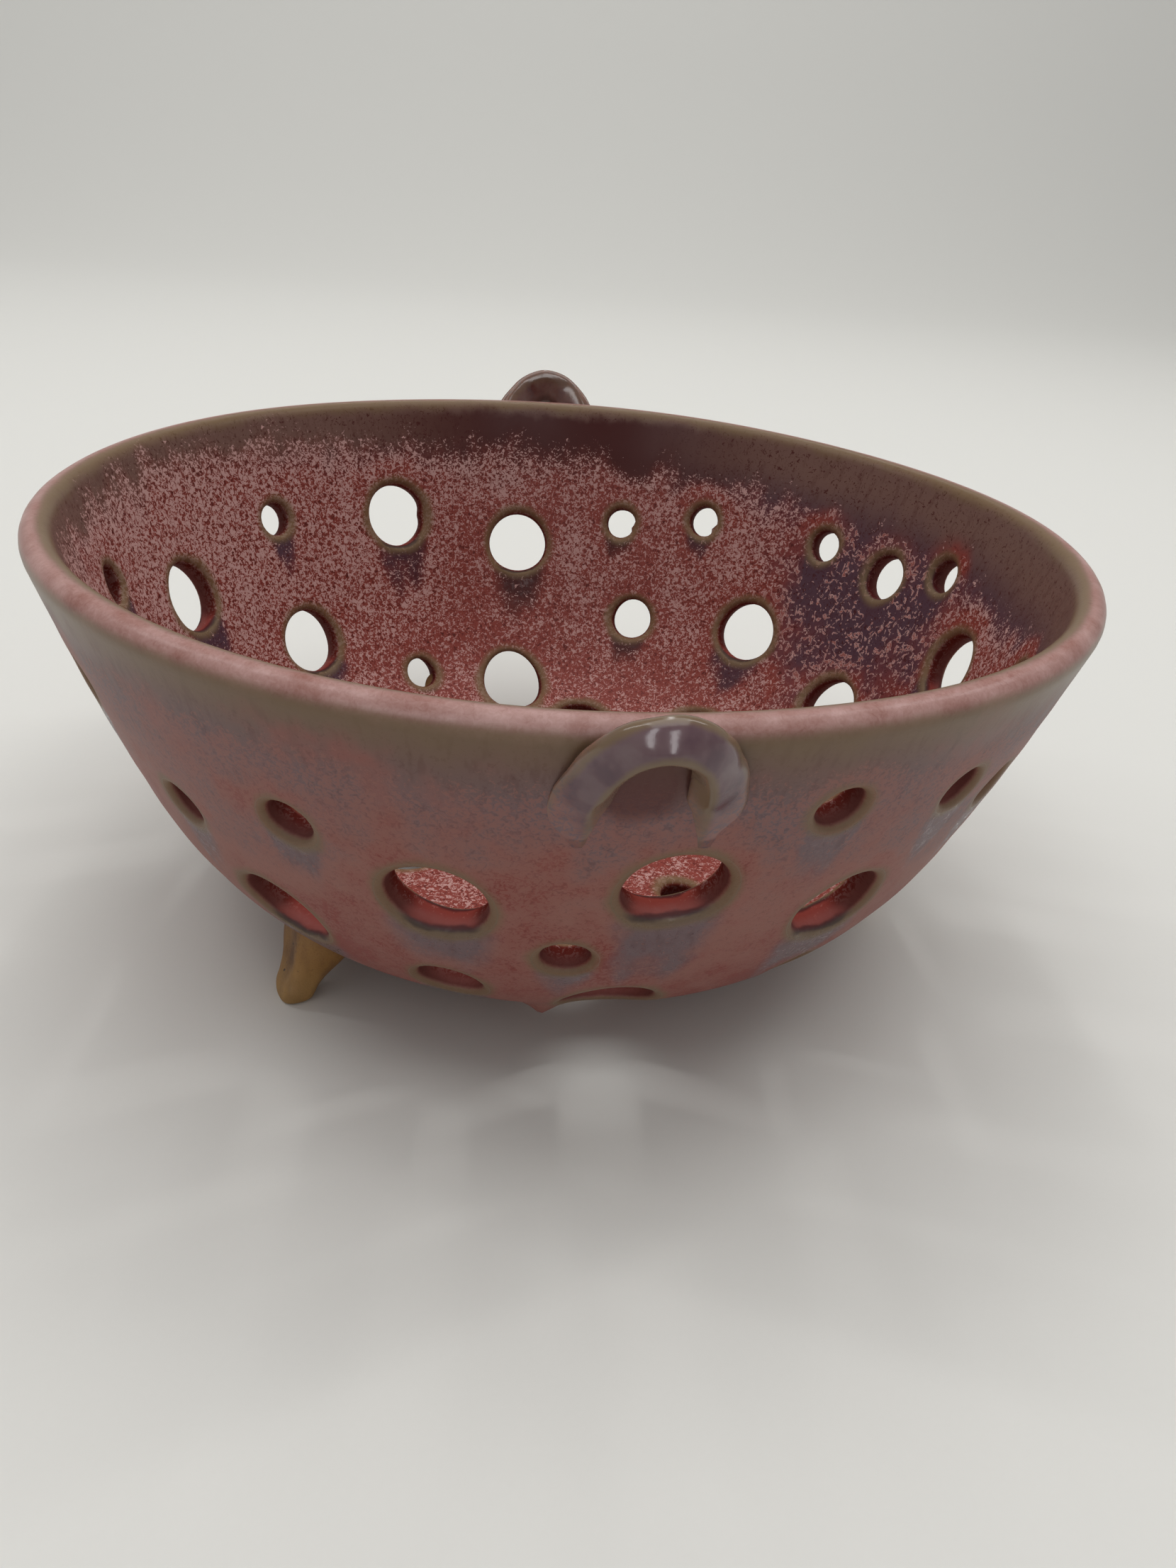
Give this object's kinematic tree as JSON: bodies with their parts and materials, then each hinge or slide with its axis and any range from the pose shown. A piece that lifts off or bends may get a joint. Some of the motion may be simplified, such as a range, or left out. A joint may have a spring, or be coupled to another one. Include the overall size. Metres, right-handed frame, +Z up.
{
  "type": "footed berry bowl",
  "caption": "Round pierced stoneware bowl with a rounded lip, strap lugs on opposite sides and short splayed feet, for rinsing, draining and serving berries.",
  "frame": {"origin": "on the surface the feet stand on, under the middle of the bowl", "axes": "+Z up along the axis the bowl was thrown on, Y through both lugs with the nearer lug of the picture at -Y, X across"},
  "size_m": [0.1798, 0.194, 0.0803],
  "materials": {
    "glaze": "semi-gloss mottled rose and plum glaze",
    "lug_glaze": "semi-gloss plum glaze breaking to khaki on the edges",
    "bare_clay": "matt unglazed stoneware"
  },
  "bodies": {
    "root": {"bowl": "glaze", "handle_front": "lug_glaze", "handle_back": "lug_glaze", "foot_left": "bare_clay", "foot_right": "bare_clay", "foot_back": "bare_clay"}
  },
  "joints": []
}
